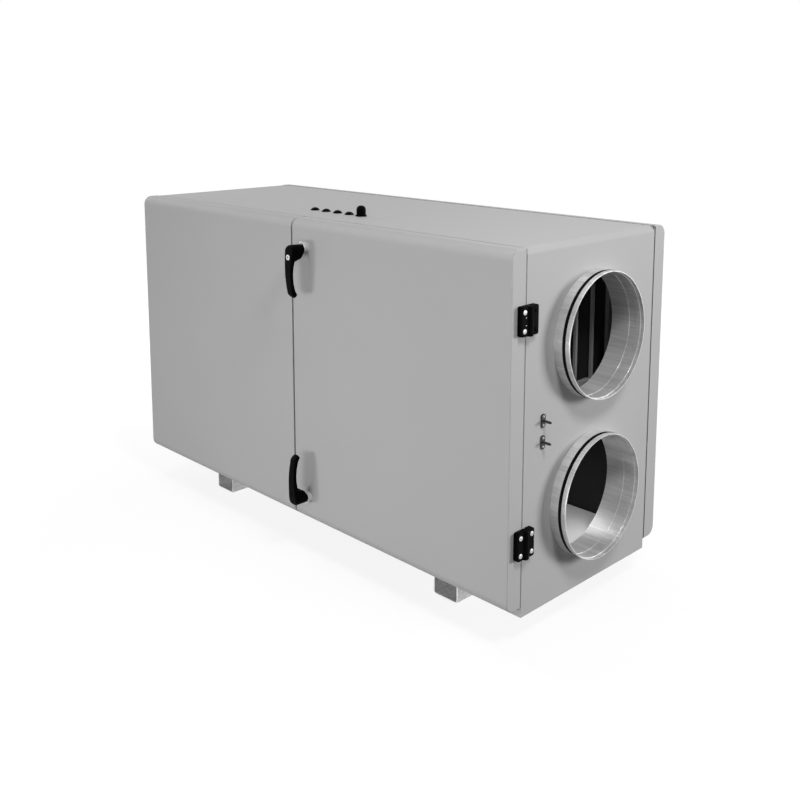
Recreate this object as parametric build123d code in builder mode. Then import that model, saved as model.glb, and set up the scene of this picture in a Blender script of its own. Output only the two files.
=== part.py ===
# Air handling unit: an insulated steel housing on two channel feet, with round duct
# spigots in both ends and one hinged door with two lever handles.
# Frame: +Z up, +X towards the end beside the door's hinges, -Y towards the door,
# origin on the ground below the middle of the unit. Millimetres.
import os
from build123d import *

os.makedirs("parts", exist_ok=True)

# Housing
length = 1560.0
depth = 625.0
height = 880.0
wall = 48.0
panel = 48.0
seam = 6.0
panel_joint = 4.0
panel_lift = 25.0
panel_round = 25.0
edge_round = 3.0
top_round = 16.0
top_sheet = 585.0
sheet_chamfer = 1.2
shelf = 30.0

# Seals
seal_width = 12.0
seal_inset = 0.5
running_gap = 0.3

# Feet
foot_height = 78.0
foot_width = 84.0
foot_sheet = 3.0
foot_lip = 22.0
foot_bend = 5.0
foot_from_end = 284.0
foot_setback = 98.0

# Duct spigots
spigot_radius = 157.0
spigot_neck = 156.0
spigot_neck_end = 0.5
spigot_sheet = 1.5
spigot_reach = 45.0
spigot_flange = 9.0
fit_gap = 0.3
turning_gap = 0.1
groove_start = 24.0
groove_width = 9.0
groove_depth = 1.8
mouth_hem = 2.0
mouth_taper = 0.5
gasket_lip = 0.6

# Filter behind the upper right opening
filter_setback = 50.0
filter_frame_depth = 60.0
filter_border = 22.0
filter_side_border = 45.0
filter_bars = 5
filter_bar = 8.0
filter_bar_depth = 8.0
filter_gap = 2.0
pleat_count = 40
pleat_sheet = 1.6
pleat_inset = 4.0

# Pressure taps on the right end wall
tap_from_front = 120.0
tap_spacing = 52.0
tap_plate_height = 34.0
tap_plate_width = 15.0
tap_plate = 3.0
tap_stem_radius = 2.8
tap_stem = 22.0
tap_barb = 0.7
tap_barb_length = 5.0
tap_barbs = 3
tap_bore_radius = 1.3
tap_bore_depth = 12.0

# Cable entries in the top
entry_from_front = 164.0
entry_from_sheet_edge = 90.0
entry_pitch = 50.0
grommet_count = 4
grommet_radius = 13.0
grommet_rim = 1.5
grommet_dome = 8.5
gland_radius = 13.0
gland_flange_radius = 16.0
gland_flange = 4.0
gland_height = 30.0
gland_round = 11.5

# Hinges
hinge_height = 69.0
hinge_offset = 265.0
hinge_leaf = 30.0
hinge_plate = 14.0
hinge_corner = 5.0
hinge_soft_edge = 2.0
hinge_screw_out = 20.0
hinge_screw_spacing = 43.0
hinge_screw_hole = 2.6
hinge_screw_sink = 6.2
knuckle_radius = 10.0
knuckle_share = 23.0
knuckle_gap = 0.5
pin_radius = 3.5

# Handles
handle_reach = 63.0
handle_from_seam = 59.0
handle_from_edge = 72.0
boss_radius = 15.0
boss_length = 16.0
boss_chamfer = 2.0
head_width = 32.0
head_beyond = 10.0
head_below = 28.0
head_taper = 3.0
head_corner = 5.0
head_shoulder = 7.0
head_bevel_depth = 10.0
head_bevel_length = 15.0
neck_length = 7.0
neck_step = 4.0
lever_length = 136.0
lever_width = 25.0
lever_waist = 48.0
lever_thickness = 12.0
lever_crest = 56.0
lever_bow = 6.5
lever_soft_edge = 2.5
tip_width = 20.0
tip_back = 7.0
tip_slope = 12.0
tip_step = 12.0
hook_back = 14.0
hook_rise = 9.0
hook_step = 6.0
hook_length = 10.0
spindle_radius = 5.0
spindle_in_lever = 20.0
spindle_nut_radius = 11.0
spindle_nut = 7.0
spindle_tail = 5.0
button_radius = 7.5
button_seat = 5.0
button_proud = 0.3
button_dimple_radius = 3.2
button_dimple = 2.5
button_below = 23.0

# Places worked out from the sizes
x_end = length / 2
y_front = (handle_reach - depth) / 2
y_back = y_front + depth
y_shell_front = y_front + panel + panel_joint
y_shell_back = y_back - panel - panel_joint
y_middle = (y_front + y_back) / 2
shell_depth = y_shell_back - y_shell_front
z_base = foot_height
z_top = z_base + height
z_panel = z_base + panel_lift
z_middle = z_base + height / 2
x_split = x_end - top_sheet
x_inside = x_end - wall
z_inside_low = z_base + wall
z_inside_high = z_top - wall
z_upper_duct = (z_middle + shelf / 2 + z_inside_high) / 2
z_lower_duct = (z_middle - shelf / 2 + z_inside_low) / 2
hinge_axis_x = x_end + knuckle_radius
hinge_axis_y = y_front + panel + panel_joint / 2
z_door_middle = (z_panel + z_top) / 2


def save(piece, name):
    """Labels a finished piece and writes it under its name."""
    piece.label = name
    export_step(piece, "parts/" + name + ".step")


# End walls, each folded over into its part of the top
def make_shell(side, x_seam, name):
    """side is +1 at the hinge end and -1 at the other, x_seam is where the top ends."""
    x_out = side * x_end
    x_in = side * x_inside
    shell_plane = Plane(origin=(0, y_shell_front, 0), x_dir=(1, 0, 0), z_dir=(0, -1, 0))
    with BuildPart() as shell:
        with BuildSketch(shell_plane) as profile:
            with BuildLine():
                Polyline(
                    (x_out, z_base),
                    (x_out, z_top),
                    (x_seam, z_top),
                    (x_seam, z_inside_high),
                    (x_in, z_inside_high),
                    (x_in, z_base),
                    close=True,
                )
            make_face()
            corners = profile.vertices().group_by(Axis.Y)[-1].sort_by(Axis.X)
            fillet(corners[-1] if side > 0 else corners[0], top_round)
            top_edge = profile.vertices().group_by(Axis.Y)[-1].sort_by(Axis.X)
            chamfer(top_edge[0] if side > 0 else top_edge[-1], sheet_chamfer)
        extrude(amount=-shell_depth)
        for z_duct in (z_lower_duct, z_upper_duct):
            end_plane = Plane(origin=(x_out, y_middle, z_duct), x_dir=(0, 1, 0), z_dir=(side, 0, 0))
            with BuildSketch(end_plane):
                Circle(spigot_neck + fit_gap)
            extrude(amount=-wall, mode=Mode.SUBTRACT)
    save(shell.part, name)


make_shell(1, x_split, "right_shell")
make_shell(-1, x_split, "left_shell")

# Floor between the end walls
with BuildPart() as floor_panel:
    with BuildSketch(Plane.XY.offset(z_base)):
        with Locations((0, y_middle)):
            Rectangle(2 * x_inside, shell_depth)
    extrude(amount=wall)
save(floor_panel.part, "floor_panel")

# Wall at mid-length, behind the seam of the front panels
with BuildPart() as centre_wall:
    with BuildSketch(Plane.XY.offset(z_inside_low)):
        with Locations((0, y_middle)):
            Rectangle(wall, shell_depth)
    extrude(amount=z_inside_high - z_inside_low)
save(centre_wall.part, "centre_wall")

# Shelves that part the upper air way from the lower one
shelf_length = x_inside - wall / 2
for side, name in ((1, "right_shelf"), (-1, "left_shelf")):
    with BuildPart() as air_shelf:
        with BuildSketch(Plane.XY.offset(z_middle - shelf / 2)):
            with Locations((side * (wall / 2 + shelf_length / 2), y_middle)):
                Rectangle(shelf_length, shell_depth)
        extrude(amount=shelf)
    save(air_shelf.part, name)


# Front panels, door and back panels
def make_panel(x_low, x_high, side, spindle_holes=()):
    """A panel with long rounded outer edges; side is -1 at the front and +1 at the back."""
    y_out = y_front if side < 0 else y_back
    y_in = y_out - side * panel
    with BuildPart() as slab:
        with BuildSketch(Plane.YZ.offset(x_low)) as profile:
            with Locations(((y_out + y_in) / 2, (z_panel + z_top) / 2)):
                Rectangle(panel, z_top - z_panel)
            outer = profile.vertices().group_by(Axis.X)[-1 if side > 0 else 0]
            fillet(outer, panel_round)
        extrude(amount=x_high - x_low)
        inner_y = slab.faces().filter_by(Axis.Y).sort_by(Axis.Y)[0 if side > 0 else -1]
        ends = slab.faces().filter_by(Axis.X).edges()
        inner_edges = inner_y.edges()
        fillet([e for e in ends if e not in inner_edges], edge_round)
        for x_hole, z_hole in spindle_holes:
            with BuildSketch(Plane(origin=(x_hole, y_out, z_hole), x_dir=(1, 0, 0), z_dir=(0, -1, 0))):
                Circle(spindle_radius + turning_gap)
            extrude(amount=-panel, mode=Mode.SUBTRACT)
    return slab


def make_seal(x_low, x_high, side, thickness):
    """A seal frame with a bar along the shelf, on the inner face of a panel."""
    y_face = y_front + panel if side < 0 else y_back - panel
    x_a = x_low + seal_inset
    x_b = x_high - seal_inset
    z_a = z_panel + seal_inset
    z_b = z_top - seal_inset
    z_bar = z_middle
    face_plane = Plane(origin=(0, y_face, 0), x_dir=(1, 0, 0), z_dir=(0, -1, 0))
    with BuildPart() as seal:
        with BuildSketch(face_plane):
            with Locations(((x_a + x_b) / 2, (z_a + z_b) / 2)):
                Rectangle(x_b - x_a, z_b - z_a)
            for z_low, z_high in ((z_a, z_bar - seal_width / 2), (z_bar + seal_width / 2, z_b)):
                low = z_low + (seal_width if z_low == z_a else 0)
                high = z_high - (seal_width if z_high == z_b else 0)
                with Locations(((x_a + x_b) / 2, (low + high) / 2)):
                    Rectangle(x_b - x_a - 2 * seal_width, high - low, mode=Mode.SUBTRACT)
        extrude(amount=side * thickness)
    return seal


half_seam = seam / 2
front_panel = make_panel(-x_end, -half_seam, -1)
save(front_panel.part, "front_panel")
front_seal = make_seal(-x_end, -half_seam, -1, panel_joint)
save(front_seal.part, "front_seal")
for x_low, x_high, name in ((-x_end, -half_seam, "left"), (half_seam, x_end, "right")):
    back_panel = make_panel(x_low, x_high, 1)
    save(back_panel.part, "back_panel_" + name)
    back_seal = make_seal(x_low, x_high, 1, panel_joint)
    save(back_seal.part, "back_seal_" + name)

# Handle places on the door, upper and lower
handle_x = half_seam + handle_from_seam
handles = (
    ("upper", z_top - handle_from_edge, 1),
    ("lower", z_panel + handle_from_edge, -1),
)

# Door
door = make_panel(half_seam, x_end, -1, [(handle_x, z_pivot) for prefix, z_pivot, down in handles])
save(door.part, "door")
door_seal = make_seal(half_seam, x_end, -1, panel_joint - running_gap)
save(door_seal.part, "door_seal")


# Duct spigots: a sheet tube through the end wall, with a groove for its gasket
def ring_points(points, side):
    """Turns distances outward from the end wall's face into places along X."""
    return [(side * (x_end + reach), radius) for reach, radius in points]


def make_spigot(side, z_axis, name):
    outer = spigot_radius
    inner = spigot_radius - spigot_sheet
    neck_inner = spigot_neck - spigot_sheet
    groove_end = groove_start + groove_width
    profile_points = [
        (-wall - spigot_sheet, neck_inner),
        (-wall - spigot_sheet, spigot_neck + spigot_flange),
        (-wall, spigot_neck + spigot_flange),
        (-wall, spigot_neck),
        (spigot_neck_end, spigot_neck),
        (spigot_neck_end, outer),
        (groove_start, outer),
        (groove_start, outer - groove_depth),
        (groove_end, outer - groove_depth),
        (groove_end, outer),
        (spigot_reach - mouth_hem, outer),
        (spigot_reach, outer - mouth_taper),
        (spigot_reach, inner - mouth_taper),
        (spigot_reach - mouth_hem, inner),
        (groove_end + spigot_sheet, inner),
        (groove_end + spigot_sheet, inner - groove_depth),
        (groove_start - spigot_sheet, inner - groove_depth),
        (groove_start - spigot_sheet, inner),
        (spigot_neck_end + spigot_sheet, inner),
        (spigot_neck_end + spigot_sheet, neck_inner),
    ]
    axis_plane = Plane(origin=(0, y_middle, z_axis), x_dir=(1, 0, 0), z_dir=(0, -1, 0))
    with BuildPart() as spigot:
        with BuildSketch(axis_plane):
            with BuildLine():
                Polyline(*ring_points(profile_points, side), close=True)
            make_face()
        revolve(axis=Axis((0, y_middle, z_axis), (1, 0, 0)))
    save(spigot.part, name + "_spigot")


def make_gasket(side, z_axis, name):
    seat = spigot_radius - groove_depth
    low = groove_start
    high = groove_start + groove_width
    third = groove_width / 3
    profile_points = [
        (low, seat),
        (low, spigot_radius),
        (low + third, spigot_radius + gasket_lip),
        (high - third, spigot_radius + gasket_lip),
        (high, spigot_radius),
        (high, seat),
    ]
    axis_plane = Plane(origin=(0, y_middle, z_axis), x_dir=(1, 0, 0), z_dir=(0, -1, 0))
    with BuildPart() as gasket:
        with BuildSketch(axis_plane):
            with BuildLine():
                Polyline(*ring_points(profile_points, side), close=True)
            make_face()
        revolve(axis=Axis((0, y_middle, z_axis), (1, 0, 0)))
    save(gasket.part, name + "_gasket")


for side, end_name in ((1, "right"), (-1, "left")):
    for z_duct, row_name in ((z_upper_duct, "upper"), (z_lower_duct, "lower")):
        make_spigot(side, z_duct, end_name + "_" + row_name)
        make_gasket(side, z_duct, end_name + "_" + row_name)

# Filter: a cassette frame with upright bars, and a pleated sheet behind them
filter_face = x_inside - filter_setback
filter_z_low = z_middle + shelf / 2
filter_height = z_inside_high - filter_z_low - filter_gap
filter_width = shell_depth - 2 * filter_gap
window_width = filter_width - 2 * filter_side_border
window_height = filter_height - 2 * filter_border
filter_z = filter_z_low + filter_height / 2
filter_plane = Plane(origin=(filter_face, y_middle, filter_z), x_dir=(0, 1, 0), z_dir=(1, 0, 0))
with BuildPart() as filter_frame:
    with BuildSketch(filter_plane):
        Rectangle(filter_width, filter_height)
        Rectangle(window_width, window_height, mode=Mode.SUBTRACT)
    extrude(amount=-filter_frame_depth)
    with BuildSketch(filter_plane):
        with GridLocations(window_width / (filter_bars + 1), 0, filter_bars, 1):
            Rectangle(filter_bar, window_height + filter_bar)
    extrude(amount=-filter_bar_depth)
save(filter_frame.part, "filter_frame")

pleat_pitch = window_width / pleat_count
pleat_front = filter_face - filter_bar_depth - pleat_inset
pleat_back = filter_face - filter_frame_depth + pleat_inset
y_window = y_middle - window_width / 2
front_line = []
back_line = []
for step in range(2 * pleat_count + 1):
    y_fold = y_window + step * pleat_pitch / 2
    at_front = step % 2 == 0
    fold_x = pleat_front if at_front else pleat_back + pleat_sheet
    front_line.append((fold_x, y_fold))
    back_line.append((fold_x - pleat_sheet, y_fold))
with BuildPart() as filter_media:
    with BuildSketch(Plane.XY.offset(filter_z - window_height / 2)):
        with BuildLine():
            Polyline(*front_line, *reversed(back_line), close=True)
        make_face()
    extrude(amount=window_height)
save(filter_media.part, "filter_media")

# Pressure taps: a small plate on the end wall with a barbed nipple
tap_end = x_end + tap_plate + tap_stem
barb_low = tap_stem_radius - tap_barb
barb_high = tap_stem_radius + tap_barb
stem_line = [(x_end + tap_plate, 0), (x_end + tap_plate, tap_stem_radius)]
for barb in range(tap_barbs, 0, -1):
    stem_line.append((tap_end - barb * tap_barb_length, tap_stem_radius))
    stem_line.append((tap_end - barb * tap_barb_length, barb_high))
stem_line.append((tap_end, barb_low))
stem_line.append((tap_end, tap_bore_radius))
stem_line.append((tap_end - tap_bore_depth, tap_bore_radius))
stem_line.append((tap_end - tap_bore_depth, 0))
for row, name in ((1, "upper"), (-1, "lower")):
    tap_centre = (0, y_front + tap_from_front, z_middle + row * tap_spacing / 2)
    with BuildPart() as tap:
        with BuildSketch(Plane(origin=tap_centre, x_dir=(0, 1, 0), z_dir=(1, 0, 0)).offset(x_end)):
            SlotOverall(tap_plate_height, tap_plate_width, rotation=90)
        extrude(amount=tap_plate)
        with BuildSketch(Plane(origin=tap_centre, x_dir=(1, 0, 0), z_dir=(0, -1, 0))):
            with BuildLine():
                Polyline(*stem_line, close=True)
            make_face()
        revolve(axis=Axis(tap_centre, (1, 0, 0)))
    save(tap.part, name + "_pressure_tap")

# Cable grommets and the cable gland on the top
y_entry = y_front + entry_from_front
x_gland = x_split - entry_from_sheet_edge
for number in range(grommet_count):
    x_entry = x_gland - (grommet_count - number) * entry_pitch
    with BuildPart() as grommet:
        with BuildSketch(Plane(origin=(x_entry, y_entry, z_top), x_dir=(1, 0, 0), z_dir=(0, -1, 0))):
            with BuildLine():
                Polyline((0, grommet_dome), (0, 0), (grommet_radius, 0), (grommet_radius, grommet_rim))
                TangentArc((0, grommet_dome), (grommet_radius, grommet_rim), tangent=(1, 0))
            make_face()
        revolve(axis=Axis((x_entry, y_entry, 0), (0, 0, 1)))
    save(grommet.part, "cable_grommet_" + str(number + 1))

with BuildPart() as cable_gland:
    with BuildSketch(Plane.XY.offset(z_top)):
        with Locations((x_gland, y_entry)):
            RegularPolygon(gland_flange_radius, 6)
    extrude(amount=gland_flange)
    with BuildSketch(Plane.XY.offset(z_top + gland_flange)):
        with Locations((x_gland, y_entry)):
            Circle(gland_radius)
    extrude(amount=gland_height - gland_flange)
    fillet(cable_gland.faces().sort_by(Axis.Z)[-1].edges(), gland_round)
save(cable_gland.part, "cable_gland")

# Feet: channels open at the top and ends, with lips under the floor
foot_half = foot_width / 2 - foot_sheet
for side, name in ((1, "right_foot"), (-1, "left_foot")):
    foot_x = side * (x_end - foot_from_end)
    foot_plane = Plane(origin=(foot_x, y_front + foot_setback, 0), x_dir=(1, 0, 0), z_dir=(0, -1, 0))
    with BuildPart() as foot:
        with BuildSketch(foot_plane):
            with BuildLine():
                FilletPolyline(
                    (-foot_half - foot_lip, foot_height),
                    (-foot_half, foot_height),
                    (-foot_half, foot_sheet),
                    (foot_half, foot_sheet),
                    (foot_half, foot_height),
                    (foot_half + foot_lip, foot_height),
                    radius=foot_bend,
                )
                offset(amount=foot_sheet, side=Side.RIGHT)
            make_face()
        extrude(amount=-(depth - 2 * foot_setback))
    save(foot.part, name)


# Hinges: a base with the middle knuckle and the pin, and a leaf with the outer knuckles
def make_hinge_half(z_hinge, side, knuckles, with_pin, name):
    """side is +1 for the base on the end wall and -1 for the leaf on the door's edge."""
    plate_start = knuckle_radius + knuckle_gap
    plate_length = hinge_leaf - plate_start
    wall_plane = Plane(origin=(x_end, hinge_axis_y, z_hinge), x_dir=(0, 1, 0), z_dir=(1, 0, 0))
    with BuildPart() as half:
        with BuildSketch(wall_plane) as outline:
            with Locations((side * (plate_start + plate_length / 2), 0)):
                Rectangle(plate_length, hinge_height)
            far = outline.vertices().group_by(Axis.X)[-1 if side > 0 else 0]
            fillet(far, hinge_corner)
        extrude(amount=hinge_plate)
        face = half.faces().filter_by(Axis.X).sort_by(Axis.X)[-1]
        near_edge = face.edges().filter_by(Axis.Z).sort_by(Axis.Y)[0 if side > 0 else -1]
        fillet([e for e in face.edges() if e != near_edge], hinge_soft_edge)
        for z_low, z_high in knuckles:
            with BuildSketch(Plane.XY.offset(z_hinge + z_low)):
                with Locations((hinge_axis_x, hinge_axis_y)):
                    Circle(knuckle_radius)
                with Locations((x_end + hinge_plate / 2, hinge_axis_y + side * plate_start / 2)):
                    Rectangle(hinge_plate, plate_start)
                if not with_pin:
                    with Locations((hinge_axis_x, hinge_axis_y)):
                        Circle(pin_radius + turning_gap, mode=Mode.SUBTRACT)
            extrude(amount=z_high - z_low)
        if with_pin:
            with BuildSketch(Plane.XY.offset(z_hinge - hinge_height / 2)):
                with Locations((hinge_axis_x, hinge_axis_y)):
                    Circle(pin_radius)
            extrude(amount=hinge_height)
        with Locations(wall_plane.offset(hinge_plate)):
            with GridLocations(0, hinge_screw_spacing, 1, 2):
                with Locations((side * hinge_screw_out, 0)):
                    CounterSinkHole(hinge_screw_hole, hinge_screw_sink)
    save(half.part, name)


def make_hinge(z_hinge, prefix):
    share = knuckle_share / 2
    end = hinge_height / 2
    make_hinge_half(z_hinge, 1, [(knuckle_gap - share, share - knuckle_gap)], True, prefix + "_hinge_base")
    make_hinge_half(z_hinge, -1, [(-end, -share), (share, end)], False, prefix + "_hinge_leaf")


make_hinge(z_door_middle + hinge_offset, "upper")
make_hinge(z_door_middle - hinge_offset, "lower")


# Handles: boss on the door, lever, spindle through the door, and a button on the lever
def make_handle(prefix, z_pivot, down):
    """down is +1 where the lever hangs down from its pivot, and -1 where it stands up."""
    front_plane = Plane(origin=(handle_x, y_front, z_pivot), x_dir=(1, 0, 0), z_dir=(0, -1, 0))
    with BuildPart() as boss:
        with BuildSketch(front_plane):
            Circle(boss_radius)
            Circle(spindle_radius + turning_gap, mode=Mode.SUBTRACT)
        extrude(amount=boss_length)
        rim = boss.faces().sort_by(Axis.Y)[0].edges().sort_by(SortBy.LENGTH)[-1]
        chamfer(rim, boss_chamfer)
    save(boss.part, prefix + "_handle_boss")

    head_start = boss_length + running_gap
    head_front = handle_reach - lever_bow
    arm_in = handle_reach - lever_thickness
    hook_in = arm_in - hook_back
    tip_out = handle_reach - tip_back
    hook_along = lever_length - hook_rise
    tip_centre = lever_length - tip_width / 2
    from_crest = (lever_crest - button_below) / lever_crest
    button_face = handle_reach - lever_bow * from_crest**2 + button_proud
    button_foot = button_face - button_seat

    def at(out, along):
        """A profile point: out from the door's face, and along the lever from its pivot."""
        return (y_front - out, z_pivot - down * along)

    def across(half_width, along):
        """An outline point: to the side of the lever's middle, and along it from its pivot."""
        return (half_width, -down * along)

    with BuildPart() as lever:
        with BuildSketch(Plane.YZ.offset(handle_x - head_width / 2)):
            with BuildLine():
                Polyline(
                    at(arm_in - neck_step, head_below + neck_length),
                    at(head_start + head_bevel_depth, head_below),
                    at(head_start, head_below - head_bevel_length),
                    at(head_start, head_taper - head_beyond),
                    at(head_front - head_corner, -head_beyond),
                    at(head_front, head_corner - head_beyond),
                )
                ThreePointArc(
                    at(head_front, head_corner - head_beyond),
                    at(handle_reach, lever_crest),
                    at(tip_out, lever_length - tip_slope),
                )
                Polyline(
                    at(tip_out, lever_length - tip_slope),
                    at(tip_out - tip_step, lever_length),
                    at(hook_in, hook_along),
                    at(hook_in + hook_step, hook_along - hook_length),
                )
                ThreePointArc(
                    at(hook_in + hook_step, hook_along - hook_length),
                    at(arm_in, lever_crest),
                    at(arm_in - neck_step, head_below + neck_length),
                )
            make_face()
        extrude(amount=head_width)
        with BuildSketch(front_plane.offset(handle_reach)):
            with BuildLine():
                Polyline(
                    across(head_width / 2, head_shoulder),
                    across(lever_width / 2, lever_waist),
                    across(tip_width / 2, tip_centre),
                )
                ThreePointArc(
                    across(tip_width / 2, tip_centre),
                    across(0, lever_length),
                    across(-tip_width / 2, tip_centre),
                )
                Polyline(
                    across(-tip_width / 2, tip_centre),
                    across(-lever_width / 2, lever_waist),
                    across(-head_width / 2, head_shoulder),
                )
                ThreePointArc(
                    across(-head_width / 2, head_shoulder),
                    across(0, -head_beyond),
                    across(head_width / 2, head_shoulder),
                )
            make_face()
        extrude(amount=-handle_reach, mode=Mode.INTERSECT)
        back_edges = lever.faces().sort_by(Axis.Y)[-1].edges()
        fillet([e for e in lever.edges() if e not in back_edges], lever_soft_edge)
        with BuildSketch(front_plane):
            Circle(spindle_radius + fit_gap)
        extrude(amount=head_start + spindle_in_lever + fit_gap, mode=Mode.SUBTRACT)
        with BuildSketch(front_plane.offset(button_foot)):
            with Locations((0, -down * button_below)):
                Circle(button_radius + fit_gap)
        extrude(amount=handle_reach - button_foot, mode=Mode.SUBTRACT)
    save(lever.part, prefix + "_lever")

    with BuildPart() as spindle:
        with BuildSketch(front_plane.offset(-panel - spindle_nut - spindle_tail - running_gap)):
            Circle(spindle_radius)
        extrude(amount=panel + spindle_nut + spindle_tail + 2 * running_gap + boss_length + spindle_in_lever)
        with BuildSketch(front_plane.offset(-panel - spindle_nut - running_gap)):
            RegularPolygon(spindle_nut_radius, 6)
        extrude(amount=spindle_nut)
    save(spindle.part, prefix + "_spindle")

    button_z = z_pivot - down * button_below
    with BuildPart() as button:
        with BuildSketch(Plane.YZ.offset(handle_x)):
            with BuildLine():
                Polyline(
                    (y_front - button_foot, button_z),
                    (y_front - button_foot, button_z + button_radius),
                    (y_front - button_face, button_z + button_radius),
                    (y_front - button_face, button_z + button_dimple_radius),
                    (y_front - button_face + button_dimple, button_z),
                    close=True,
                )
            make_face()
        revolve(axis=Axis((handle_x, y_front, button_z), (0, 1, 0)))
    save(button.part, prefix + "_button")


for prefix, z_pivot, down in handles:
    make_handle(prefix, z_pivot, down)
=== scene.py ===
import math

import bmesh
import bpy
from mathutils import Matrix, Vector


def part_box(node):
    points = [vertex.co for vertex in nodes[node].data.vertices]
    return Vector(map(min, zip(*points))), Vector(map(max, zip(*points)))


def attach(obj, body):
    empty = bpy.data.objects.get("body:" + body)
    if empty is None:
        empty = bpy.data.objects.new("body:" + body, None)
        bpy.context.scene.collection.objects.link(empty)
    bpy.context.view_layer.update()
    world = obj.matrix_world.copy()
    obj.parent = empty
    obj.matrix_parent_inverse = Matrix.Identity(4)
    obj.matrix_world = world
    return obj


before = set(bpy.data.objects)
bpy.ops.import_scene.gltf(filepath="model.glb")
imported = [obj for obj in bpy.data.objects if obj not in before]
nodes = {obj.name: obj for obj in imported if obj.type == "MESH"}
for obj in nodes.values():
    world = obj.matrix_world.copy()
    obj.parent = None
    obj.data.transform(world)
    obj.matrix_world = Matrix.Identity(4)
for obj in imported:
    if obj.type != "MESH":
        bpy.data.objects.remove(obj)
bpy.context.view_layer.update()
scene = bpy.context.scene

# Camera, at the photograph's viewing angle
YAW = 0.7981
PITCH = 0.1501
FOCAL_PIXELS = 995.3
IMAGE_SIZE = 800
SENSOR = 36.0
CAMERA_PLACE = (2.1423, -1.9526, 1.3056)
FRAME_SHIFT = -0.20
CLIP_START = 0.05
CLIP_END = 60.0

forward = Vector((-math.sin(YAW) * math.cos(PITCH), math.cos(YAW) * math.cos(PITCH), -math.sin(PITCH)))
right = Vector((math.cos(YAW), math.sin(YAW), 0.0))
up = right.cross(forward)
camera_data = bpy.data.cameras.new("camera")
camera_data.sensor_width = SENSOR
camera_data.lens = FOCAL_PIXELS * SENSOR / IMAGE_SIZE
camera_data.shift_y = FRAME_SHIFT
camera_data.clip_start = CLIP_START
camera_data.clip_end = CLIP_END
camera = bpy.data.objects.new("camera", camera_data)
scene.collection.objects.link(camera)
camera.matrix_world = Matrix.Translation(CAMERA_PLACE) @ Matrix((right, up, -forward)).transposed().to_4x4()
scene.camera = camera


# Light: a narrow low lamp and a broad soft one before the front, two at the duct end, two over the
# top and one at the left end. Each row has a name, a place, the point aimed at, a size and a power.
LAMPS = [
    ("front_key", (-1.3, -3.6, 0.12), (0.0, -0.28, 0.5), (0.75, 0.16), 33.5),
    ("front_soft", (0.45, -2.5, 0.55), (0.4, -0.28, 0.3), (1.7, 0.9), 28.0),
    ("end_key", (6.1, 5.0, 1.6), (0.78, 0.0, 0.6), (2.6, 2.2), 415.0),
    ("end_steep", (2.45, -0.79, 3.17), (0.7, 0.1, 0.15), (0.7, 0.7), 60.0),
    ("top_soft", (-1.5, 0.2, 4.2), (-0.3, 0.0, 0.9), (2.4, 2.4), 38.0),
    ("top_back", (-0.8, 2.8, 3.2), (-0.3, 0.0, 0.9), (2.5, 2.5), 27.0),
    ("left_fill", (-4.2, -0.1, 1.9), (-0.78, 0.0, 0.5), (1.6, 1.6), 60.0),
]
# A very weak lamp inside the lower right chamber, hidden from the camera. It stands for no real lamp:
# it brightens the chamber's floor, which the photograph shows pale through the duct.
CHAMBER_LAMP = ("chamber_light", (0.52, 0.10, 0.44), (0.60, 0.16, 0.13), (0.2, 0.2), 0.1)
CHAMBER_SPREAD = math.radians(80.0)


def area_light(name, place, target, size, power):
    data = bpy.data.lights.new(name, "AREA")
    data.shape = "RECTANGLE"
    data.size, data.size_y = size
    data.energy = power
    lamp = bpy.data.objects.new(name, data)
    scene.collection.objects.link(lamp)
    lamp.location = place
    lamp.rotation_euler = (Vector(target) - Vector(place)).to_track_quat("-Z", "Y").to_euler()
    return lamp


for row in LAMPS:
    area_light(*row)
chamber_light = area_light(*CHAMBER_LAMP)
chamber_light.visible_camera = False
chamber_light.data.spread = CHAMBER_SPREAD

# World: weak even light on the unit, and white where a seen ray meets it
AMBIENT = 0.05
SEEN_WHITE = 1.0
WHITE = (1.0, 1.0, 1.0, 1.0)


def seen_ray(tree):
    """1 for camera, glossy and transmission rays, which see the white background."""
    path = tree.nodes.new("ShaderNodeLightPath")
    first = tree.nodes.new("ShaderNodeMath")
    first.operation = "MAXIMUM"
    second = tree.nodes.new("ShaderNodeMath")
    second.operation = "MAXIMUM"
    tree.links.new(path.outputs["Is Camera Ray"], first.inputs[0])
    tree.links.new(path.outputs["Is Glossy Ray"], first.inputs[1])
    tree.links.new(first.outputs[0], second.inputs[0])
    tree.links.new(path.outputs["Is Transmission Ray"], second.inputs[1])
    return second.outputs[0]


world = bpy.data.worlds.new("studio")
scene.world = world
world.use_nodes = True
tree = world.node_tree
tree.nodes.clear()
ambient = tree.nodes.new("ShaderNodeBackground")
ambient.inputs["Strength"].default_value = AMBIENT
ambient.inputs["Color"].default_value = WHITE
white = tree.nodes.new("ShaderNodeBackground")
white.inputs["Strength"].default_value = SEEN_WHITE
white.inputs["Color"].default_value = WHITE
mix = tree.nodes.new("ShaderNodeMixShader")
out = tree.nodes.new("ShaderNodeOutputWorld")
tree.links.new(seen_ray(tree), mix.inputs[0])
tree.links.new(ambient.outputs[0], mix.inputs[1])
tree.links.new(white.outputs[0], mix.inputs[2])
tree.links.new(mix.outputs[0], out.inputs["Surface"])
scene.view_settings.view_transform = "Standard"

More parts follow.
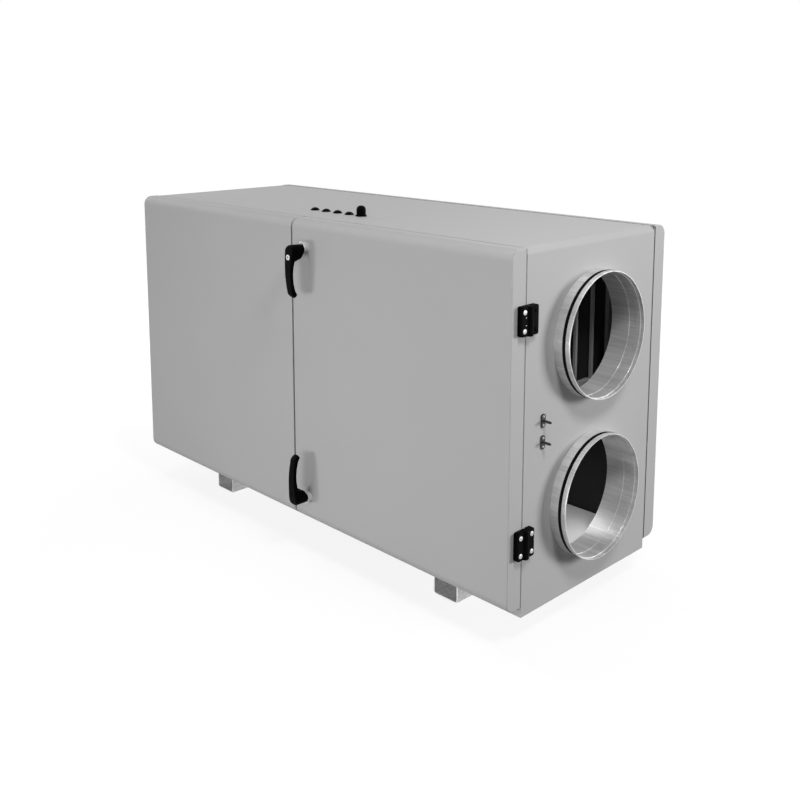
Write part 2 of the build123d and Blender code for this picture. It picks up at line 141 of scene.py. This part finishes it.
# Floor: pale and matt, seen as white, with the soft shadow left near the unit
FLOOR_REACH = 14.0
FLOOR_ALBEDO = 0.14
GLOW_NEAR = 0.88
SHADOW_REACH = (0.9, 2.4)
corners = [(-1, -1), (1, -1), (1, 1), (-1, 1)]
floor_mesh = bpy.data.meshes.new("floor")
floor_mesh.from_pydata([(FLOOR_REACH * x, FLOOR_REACH * y, 0.0) for x, y in corners], [], [(0, 1, 2, 3)])
floor = bpy.data.objects.new("floor", floor_mesh)
scene.collection.objects.link(floor)
floor_material = bpy.data.materials.new("floor")
floor_material.use_nodes = True
tree = floor_material.node_tree
tree.nodes.clear()
matt = tree.nodes.new("ShaderNodeBsdfDiffuse")
matt.inputs["Color"].default_value = (FLOOR_ALBEDO, FLOOR_ALBEDO, FLOOR_ALBEDO, 1.0)
place = tree.nodes.new("ShaderNodeTexCoord")
reach = tree.nodes.new("ShaderNodeVectorMath")
reach.operation = "LENGTH"
level = tree.nodes.new("ShaderNodeMapRange")
level.interpolation_type = "SMOOTHSTEP"
level.inputs["From Min"].default_value, level.inputs["From Max"].default_value = SHADOW_REACH
level.inputs["To Min"].default_value, level.inputs["To Max"].default_value = GLOW_NEAR, SEEN_WHITE
shown = tree.nodes.new("ShaderNodeMath")
shown.operation = "MULTIPLY"
glow = tree.nodes.new("ShaderNodeEmission")
total = tree.nodes.new("ShaderNodeAddShader")
out = tree.nodes.new("ShaderNodeOutputMaterial")
tree.links.new(place.outputs["Object"], reach.inputs[0])
tree.links.new(reach.outputs["Value"], level.inputs["Value"])
tree.links.new(level.outputs[0], shown.inputs[0])
tree.links.new(seen_ray(tree), shown.inputs[1])
tree.links.new(shown.outputs[0], glow.inputs["Strength"])
tree.links.new(matt.outputs[0], total.inputs[0])
tree.links.new(glow.outputs[0], total.inputs[1])
tree.links.new(total.outputs[0], out.inputs["Surface"])
floor_mesh.materials.append(floor_material)

# Spans that texture values mostly fill: one noise, one noise in soft contrast, and a sum of two
NOISE_SPAN = (0.3, 0.7)
SOFT_SPAN = (0.25, 0.75)
SUM_SPAN = (0.6, 1.4)


# Materials. A texture scale is about the number of its grains in a metre.
class Build:
    """A Principled material with helpers for textures placed in the object's own metres."""

    def __init__(self, name, colour, roughness, metallic=0.0, specular=0.5):
        self.material = bpy.data.materials.new(name)
        self.material.use_nodes = True
        self.tree = self.material.node_tree
        self.shader = self.tree.nodes["Principled BSDF"]
        self.shader.inputs["Base Color"].default_value = (*colour, 1.0)
        self.shader.inputs["Roughness"].default_value = roughness
        self.shader.inputs["Metallic"].default_value = metallic
        self.shader.inputs["Specular IOR Level"].default_value = specular
        self.coordinates = self.tree.nodes.new("ShaderNodeTexCoord")

    def link(self, a, b):
        self.tree.links.new(a, b)

    def mapped(self, scale):
        """Object coordinates times a scale: one number for an even grain, or three for a drawn-out one."""
        mapping = self.tree.nodes.new("ShaderNodeMapping")
        mapping.inputs["Scale"].default_value = scale if isinstance(scale, tuple) else (scale, scale, scale)
        self.link(self.coordinates.outputs["Object"], mapping.inputs["Vector"])
        return mapping.outputs[0]

    def noise(self, scale, detail=3.0, rough=0.5):
        texture = self.tree.nodes.new("ShaderNodeTexNoise")
        texture.inputs["Scale"].default_value = 1.0
        texture.inputs["Detail"].default_value = detail
        texture.inputs["Roughness"].default_value = rough
        self.link(self.mapped(scale), texture.inputs["Vector"])
        return texture.outputs["Fac"]

    def cells(self, scale):
        """A value that is even within each cell and differs from cell to cell."""
        texture = self.tree.nodes.new("ShaderNodeTexVoronoi")
        texture.inputs["Scale"].default_value = 1.0
        self.link(self.mapped(scale), texture.inputs["Vector"])
        split = self.tree.nodes.new("ShaderNodeSeparateColor")
        self.link(texture.outputs["Color"], split.inputs[0])
        return split.outputs[0]

    def axis(self, letter):
        split = self.tree.nodes.new("ShaderNodeSeparateXYZ")
        self.link(self.coordinates.outputs["Object"], split.inputs[0])
        return split.outputs[letter]

    def fit(self, value, span, low=0.0, high=1.0):
        """The value with its span stretched to run from low to high, and held there beyond it."""
        ranged = self.tree.nodes.new("ShaderNodeMapRange")
        ranged.inputs["From Min"].default_value, ranged.inputs["From Max"].default_value = span
        ranged.inputs["To Min"].default_value = low
        ranged.inputs["To Max"].default_value = high
        self.link(value, ranged.inputs["Value"])
        return ranged.outputs[0]

    def combine(self, operation, a, b=0.0):
        node = self.tree.nodes.new("ShaderNodeMath")
        node.operation = operation
        for socket, value in zip(node.inputs, (a, b)):
            if isinstance(value, float):
                socket.default_value = value
            else:
                self.link(value, socket)
        return node.outputs[0]

    def blend(self, a, b, share):
        """A mix of two texture values, in which share is the part that b has."""
        part_a = self.combine("MULTIPLY", a, 1.0 - share)
        part_b = self.combine("MULTIPLY", b, share)
        return self.combine("ADD", part_a, part_b)

    def mixed(self, factor, low, high):
        """A colour between low and high, each a colour or another socket."""
        node = self.tree.nodes.new("ShaderNodeMix")
        node.data_type = "RGBA"
        for socket, value in ((node.inputs[6], low), (node.inputs[7], high)):
            if isinstance(value, tuple):
                socket.default_value = (*value, 1.0)
            else:
                self.link(value, socket)
        self.link(factor, node.inputs[0])
        return node.outputs[2]

    def paint(self, colour):
        self.link(colour, self.shader.inputs["Base Color"])

    def rough(self, value):
        self.link(value, self.shader.inputs["Roughness"])

    def bump(self, height, distance, strength):
        node = self.tree.nodes.new("ShaderNodeBump")
        node.inputs["Strength"].default_value = strength
        node.inputs["Distance"].default_value = distance
        self.link(height, node.inputs["Height"])
        self.link(node.outputs[0], self.shader.inputs["Normal"])


def shade(colour, factor):
    return tuple(min(1.0, c * factor) for c in colour)


def grey(value):
    return (value, value, value)


COAT_CLOUD = 2.2
COAT_PEEL = 420.0
COAT_ROUGHNESS = (0.58, 0.68)
COAT_SPECULAR = 0.25
SHADE_LINING_GRAIN = 260.0
SHADE_LINING_ROUGHER = 0.4
METAL_WIDE_SCALE = 0.12
METAL_WIDE_SHARE = 0.4
METAL_CRYSTALS = 110.0
METAL_CONTRAST = 0.13
TUBE_LINES = (7.0, 210.0, 210.0)
TUBE_BANDS = (2.0, 24.0, 24.0)
TUBE_BAND_SHARE = 0.6
PLASTIC_GRAIN = 900.0
PLASTIC_CLOUD = 35.0
BUTTON_GRAIN = 700.0
RUBBER_GRAIN = 500.0
PAPER_FIBRES = (900.0, 900.0, 140.0)


def powder_coat(name, colour, shade_lining=None, plane=0.0, painted_light=None, floor_top=0.0):
    """Satin powder coat; below a plane in Y a near-black lining painted as shade, and above a level in Z a
    paler coat, partly painted light.
    """
    b = Build(name, colour, COAT_ROUGHNESS[0], specular=COAT_SPECULAR)
    cloud = b.noise(COAT_CLOUD, detail=2.0)
    peel = b.noise(COAT_PEEL, detail=2.0)
    outside = b.mixed(b.fit(cloud, NOISE_SPAN), shade(colour, 0.98), shade(colour, 1.02))
    roughness = b.fit(b.combine("ADD", cloud, peel), SUM_SPAN, *COAT_ROUGHNESS)
    if shade_lining is not None:
        # Below the plane the coat turns to a near-black lining: painted shade of the closed chamber.
        shade_lining_tone = b.mixed(b.noise(SHADE_LINING_GRAIN), shade(shade_lining, 0.7), shade(shade_lining, 1.4))
        inside = b.combine("LESS_THAN", b.axis("Y"), plane)
        outside = b.mixed(inside, outside, shade_lining_tone)
        roughness = b.combine("ADD", roughness, b.combine("MULTIPLY", inside, SHADE_LINING_ROUGHER))
    if painted_light is not None:
        outside = b.mixed(b.combine("GREATER_THAN", b.axis("Z"), floor_top), outside, painted_light)
    b.paint(outside)
    b.rough(roughness)
    b.bump(peel, distance=0.0001, strength=0.3)
    return b.material


def sheet_metal(name, colour, streak, roughness, metallic, spangle=0.0):
    """Zinc-coated sheet, drawn out along any axis in which streak is the smallest.

    The spangle is the share that the zinc's crystals have in its tone.
    """
    b = Build(name, colour, roughness, metallic=metallic)
    fine = b.noise(streak, detail=4.0, rough=0.65)
    wide = b.noise(tuple(s * METAL_WIDE_SCALE for s in streak), detail=2.0)
    tone = b.blend(fine, wide, METAL_WIDE_SHARE)
    if spangle:
        tone = b.blend(tone, b.cells(METAL_CRYSTALS), spangle)
    dark_tone, light_tone = shade(colour, 1.0 - METAL_CONTRAST), shade(colour, 1.0 + METAL_CONTRAST)
    b.paint(b.mixed(b.fit(tone, SOFT_SPAN), dark_tone, light_tone))
    b.rough(b.fit(tone, SOFT_SPAN, roughness + 0.1, roughness - 0.07))
    b.bump(fine, distance=0.00012, strength=0.35)
    return b.material


def rolled_tube(name, colour, roughness, metallic):
    """Tube of bright sheet, with fine lines and broad soft bands that run along it."""
    b = Build(name, colour, roughness, metallic=metallic)
    lines = b.noise(TUBE_LINES, detail=4.0, rough=0.7)
    bands = b.noise(TUBE_BANDS, rough=0.6)
    tone = b.blend(lines, bands, TUBE_BAND_SHARE)
    b.paint(b.mixed(b.fit(tone, NOISE_SPAN), shade(colour, 0.58), shade(colour, 1.18)))
    b.rough(b.fit(tone, NOISE_SPAN, roughness + 0.1, roughness - 0.1))
    b.bump(lines, distance=0.0001, strength=0.3)
    return b.material


def moulded(name, colour, roughness, specular, grain=PLASTIC_GRAIN):
    """Moulded plastic or rubber with a fine grain."""
    b = Build(name, colour, roughness, specular=specular)
    speck = b.noise(grain, detail=2.0)
    cloud = b.noise(PLASTIC_CLOUD)
    b.paint(b.mixed(b.fit(cloud, NOISE_SPAN), shade(colour, 0.8), shade(colour, 1.25)))
    b.rough(b.fit(b.combine("ADD", speck, cloud), SUM_SPAN, roughness - 0.06, roughness + 0.1))
    b.bump(speck, distance=0.00015, strength=0.5)
    return b.material


def ringed_button(name, ring, middle, centre, radius):
    """Plastic button whose middle, within the radius round its axis along Y, has another colour."""
    b = Build(name, ring, roughness=0.3)
    speck = b.noise(BUTTON_GRAIN, detail=2.0)
    across = b.combine("SUBTRACT", b.axis("X"), centre.x)
    along = b.combine("SUBTRACT", b.axis("Z"), centre.z)
    squares = [b.combine("MULTIPLY", side, side) for side in (across, along)]
    reach = b.combine("SQRT", b.combine("ADD", *squares))
    tinted = b.mixed(speck, shade(ring, 0.95), shade(ring, 1.05))
    b.paint(b.mixed(b.combine("GREATER_THAN", reach, radius), middle, tinted))
    b.rough(b.fit(speck, NOISE_SPAN, 0.28, 0.4))
    b.bump(speck, distance=0.0001, strength=0.3)
    return b.material


def seal_strip(name, colour, top_colour, top):
    """Rubber seal, capped along the top of the housing by a strip in the coat's colour."""
    b = Build(name, colour, roughness=0.7, specular=0.25)
    speck = b.noise(RUBBER_GRAIN, detail=2.0)
    capped = b.combine("GREATER_THAN", b.axis("Z"), top)
    rubber = b.mixed(speck, shade(colour, 0.85), shade(colour, 1.15))
    b.paint(b.mixed(capped, rubber, top_colour))
    b.rough(b.fit(speck, NOISE_SPAN, 0.62, 0.78))
    b.bump(speck, distance=0.00015, strength=0.5)
    return b.material


def pleated_paper(name, colour):
    """Filter paper with fibres along Z."""
    b = Build(name, colour, roughness=0.85, specular=0.2)
    fibres = b.noise(PAPER_FIBRES, detail=4.0, rough=0.7)
    b.paint(b.mixed(fibres, shade(colour, 0.4), shade(colour, 1.7)))
    b.bump(fibres, distance=0.0003, strength=0.6)
    return b.material


HOUSING = grey(0.42)
SHADE_LINING = grey(0.03)
PAINTED_LIGHT_FLOOR = grey(0.82)
SKIN = 0.002
SEAL_CAP = 0.001
BUTTON_MIDDLE = 0.0032
EVEN_METAL = (300.0, 300.0, 300.0)
DRAWN_IN_Y = (260.0, 7.0, 260.0)
DRAWN_IN_X_AND_Y = (9.0, 9.0, 300.0)
DRAWN_IN_Z = (200.0, 200.0, 12.0)
SPANGLE = 0.35


def box_middle(name):
    low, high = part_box(name)
    return (low + high) / 2


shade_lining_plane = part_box("back_panel_right")[0].y + SKIN
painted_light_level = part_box("floor_panel")[1].z - SKIN
button_middle = box_middle("upper_button")

coat = powder_coat("grey_powder_coat", HOUSING)
# Painted shade: the back panels' inner faces are near black, for the shade inside the closed chamber.
shade_lined_back = powder_coat("shade_lined_panel", HOUSING, SHADE_LINING, shade_lining_plane)
# The floor panel's top takes a paler coat: partly a pale sheet, partly painted light on the chamber's
# floor.
floor_coat_with_painted_light = powder_coat("floor_coat_painted_light", HOUSING, painted_light=PAINTED_LIGHT_FLOOR, floor_top=painted_light_level)
zinc = rolled_tube("galvanised_tube", grey(0.76), roughness=0.34, metallic=0.34)
zinc_feet = sheet_metal(
    "galvanised_feet", grey(0.85), DRAWN_IN_Y, roughness=0.42, metallic=0.3, spangle=SPANGLE
)
bright_zinc = sheet_metal("bright_zinc", grey(0.62), EVEN_METAL, roughness=0.34, metallic=0.4)
dull_zinc = sheet_metal("dull_zinc", grey(0.45), EVEN_METAL, roughness=0.45, metallic=0.2)
inner_sheet = sheet_metal(
    "inner_sheet", grey(0.42), DRAWN_IN_X_AND_Y, roughness=0.45, metallic=0.3, spangle=SPANGLE
)
filter_steel = sheet_metal("filter_steel", grey(0.3), DRAWN_IN_Z, roughness=0.5, metallic=0.2)
seal_rubber = seal_strip("seal_rubber", grey(0.2), HOUSING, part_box("front_seal")[1].z - SEAL_CAP)
gasket_rubber = moulded("gasket_rubber", grey(0.002), roughness=0.6, specular=0.05, grain=RUBBER_GRAIN)
black = moulded("black_plastic", grey(0.0012), roughness=0.5, specular=0.02)
dark = moulded("dark_plastic", grey(0.02), roughness=0.45, specular=0.3)
white_button = ringed_button("white_button", grey(0.80), grey(0.10), button_middle, BUTTON_MIDDLE)
# The filter paper is near black: painted shade of the pleats deep inside the filter.
painted_shade_paper = pleated_paper("filter_paper", grey(0.02))

by_node = {
    "right_shell": coat, "left_shell": coat, "front_panel": coat, "door": coat,
    "back_panel_left": shade_lined_back, "back_panel_right": shade_lined_back, "floor_panel": floor_coat_with_painted_light,
    "centre_wall": inner_sheet, "right_shelf": inner_sheet, "left_shelf": inner_sheet,
    "filter_frame": filter_steel, "filter_media": painted_shade_paper,
    "left_foot": zinc_feet, "right_foot": zinc_feet,
    "upper_pressure_tap": dark, "lower_pressure_tap": dark, "cable_gland": black,
    "upper_button": white_button, "lower_button": black,
}
for name in nodes:
    if name.endswith("_spigot"):
        by_node[name] = zinc
    elif name.endswith("_gasket"):
        by_node[name] = gasket_rubber
    elif "seal" in name:
        by_node[name] = seal_rubber
    elif name.startswith("cable_grommet") or "hinge" in name or name.endswith("_lever"):
        by_node[name] = black
    elif name.endswith("_boss") or name.endswith("_spindle"):
        by_node[name] = bright_zinc
for name, node in nodes.items():
    node.data.materials.clear()
    node.data.materials.append(by_node[name])


# Small pieces
def add_piece(name, mesh, material, body):
    piece = bpy.data.objects.new(name, mesh)
    scene.collection.objects.link(piece)
    mesh.materials.append(material)
    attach(piece, body)


# Pan head with a cross recess: rings from the foot inwards, as shares of the radius and the height
SCREW_STEPS = 32
HEAD_RINGS = [(1.0, -0.6), (1.0, 0.25), (0.93, 0.6), (0.78, 0.86), (0.66, 0.95)]
RECESS_RINGS = [(0.5, 1.0), (0.44, 0.35)]
RECESS_WAIST = 0.36
CROSS_HALF_ANGLE = math.radians(16.0)
SHARP_ANGLE = math.radians(35.0)


def screw_rings():
    """The head's rings, each with its share of radius and height at every step round it."""
    rings = [[ring] * SCREW_STEPS for ring in HEAD_RINGS]
    for part, level in RECESS_RINGS:
        ring = []
        for step in range(SCREW_STEPS):
            angle = step * 2 * math.pi / SCREW_STEPS
            from_arm = abs((angle + math.pi / 4) % (math.pi / 2) - math.pi / 4)
            ring.append((part if from_arm < CROSS_HALF_ANGLE else part * RECESS_WAIST, level))
        rings.append(ring)
    return rings


def screw_mesh(name, heads):
    """One mesh of screw heads. Each head is (centre, outward axis, radius, height, turn)."""
    bm = bmesh.new()
    for centre, axis, radius, height, turn in heads:
        axis = Vector(axis).normalized()
        side = axis.orthogonal().normalized()
        other = axis.cross(side)
        made = []
        for ring in screw_rings():
            verts = []
            for step, (part, level) in enumerate(ring):
                angle = step * 2 * math.pi / SCREW_STEPS + turn
                outward = side * math.cos(angle) + other * math.sin(angle)
                spot = Vector(centre) + axis * (level * height) + outward * (part * radius)
                verts.append(bm.verts.new(spot))
            made.append(verts)
        for low, high in zip(made, made[1:]):
            for step in range(SCREW_STEPS):
                after = (step + 1) % SCREW_STEPS
                bm.faces.new((low[step], low[after], high[after], high[step]))
        bm.faces.new(made[-1])
        bm.faces.new(list(reversed(made[0])))
    bmesh.ops.recalc_face_normals(bm, faces=bm.faces)
    mesh = bpy.data.meshes.new(name)
    bm.to_mesh(mesh)
    bm.free()
    for polygon in mesh.polygons:
        polygon.use_smooth = True
    mesh.set_sharp_from_angle(angle=SHARP_ANGLE)
    return mesh


OUTWARD = (1, 0, 0)
SCREW_OUT = 0.020
SCREW_UP = 0.0215
SCREW_RADIUS = 0.0061
SCREW_HEIGHT = 0.0024
SCREW_SUNK = 0.0006
SCREW_TURN = 0.4
SCREW_TURN_STEP = 0.7
HINGE_PLATE = 0.014
STUD_OUT = 0.0155
STUD_UP = 0.0086
STUD_RADIUS = 0.0017
STUD_HEIGHT = SCREW_HEIGHT / 2
hinge_axis_y = (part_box("door")[1].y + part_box("right_shell")[0].y) / 2
hinge_face_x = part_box("right_shell")[1].x + HINGE_PLATE - SCREW_SUNK


def hinge_heads(row, side, out, up, radius, height):
    """A pair of heads on one half of a hinge; side is +1 for the base and -1 for the leaf."""
    middle_z = box_middle(row + "_hinge_base").z
    heads = []
    for up_down in (-1, 1):
        centre = (hinge_face_x, hinge_axis_y + side * out, middle_z + up_down * up)
        heads.append((centre, OUTWARD, radius, height, SCREW_TURN + SCREW_TURN_STEP * up_down * side))
    return heads


# The photograph shows the upper base's screws dark, and the others bright
HINGE_HALVES = [
    ("upper", "base", 1, "housing", black, "black_plastic"),
    ("upper", "leaf", -1, "door", bright_zinc, "galvanised"),
    ("lower", "base", 1, "housing", bright_zinc, "galvanised"),
    ("lower", "leaf", -1, "door", bright_zinc, "galvanised"),
]
for row, part, side, body, finish, slot in HINGE_HALVES:
    name = f"{row}_hinge_{part}_screws"
    heads = hinge_heads(row, side, SCREW_OUT, SCREW_UP, SCREW_RADIUS, SCREW_HEIGHT)
    add_piece(name, screw_mesh(name, heads), finish, body)
studs = hinge_heads("upper", -1, STUD_OUT, STUD_UP, STUD_RADIUS, STUD_HEIGHT)
add_piece("upper_hinge_studs", screw_mesh("upper_hinge_studs", studs), dull_zinc, "door")

TAP_PLATE = 0.003
TAP_SCREW_UP = 0.0105
TAP_SCREW_RADIUS = 0.003
TAP_SCREW_HEIGHT = 0.0016
TAP_SCREW_TURN = 0.3
for row in ("upper", "lower"):
    face_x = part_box(row + "_pressure_tap")[0].x + TAP_PLATE
    middle = box_middle(row + "_pressure_tap")
    heads = []
    for up_down in (-1, 1):
        centre = (face_x, middle.y, middle.z + up_down * TAP_SCREW_UP)
        heads.append((centre, OUTWARD, TAP_SCREW_RADIUS, TAP_SCREW_HEIGHT, TAP_SCREW_TURN * up_down))
    name = f"{row}_tap_screws"
    add_piece(name, screw_mesh(name, heads), dull_zinc, "housing")
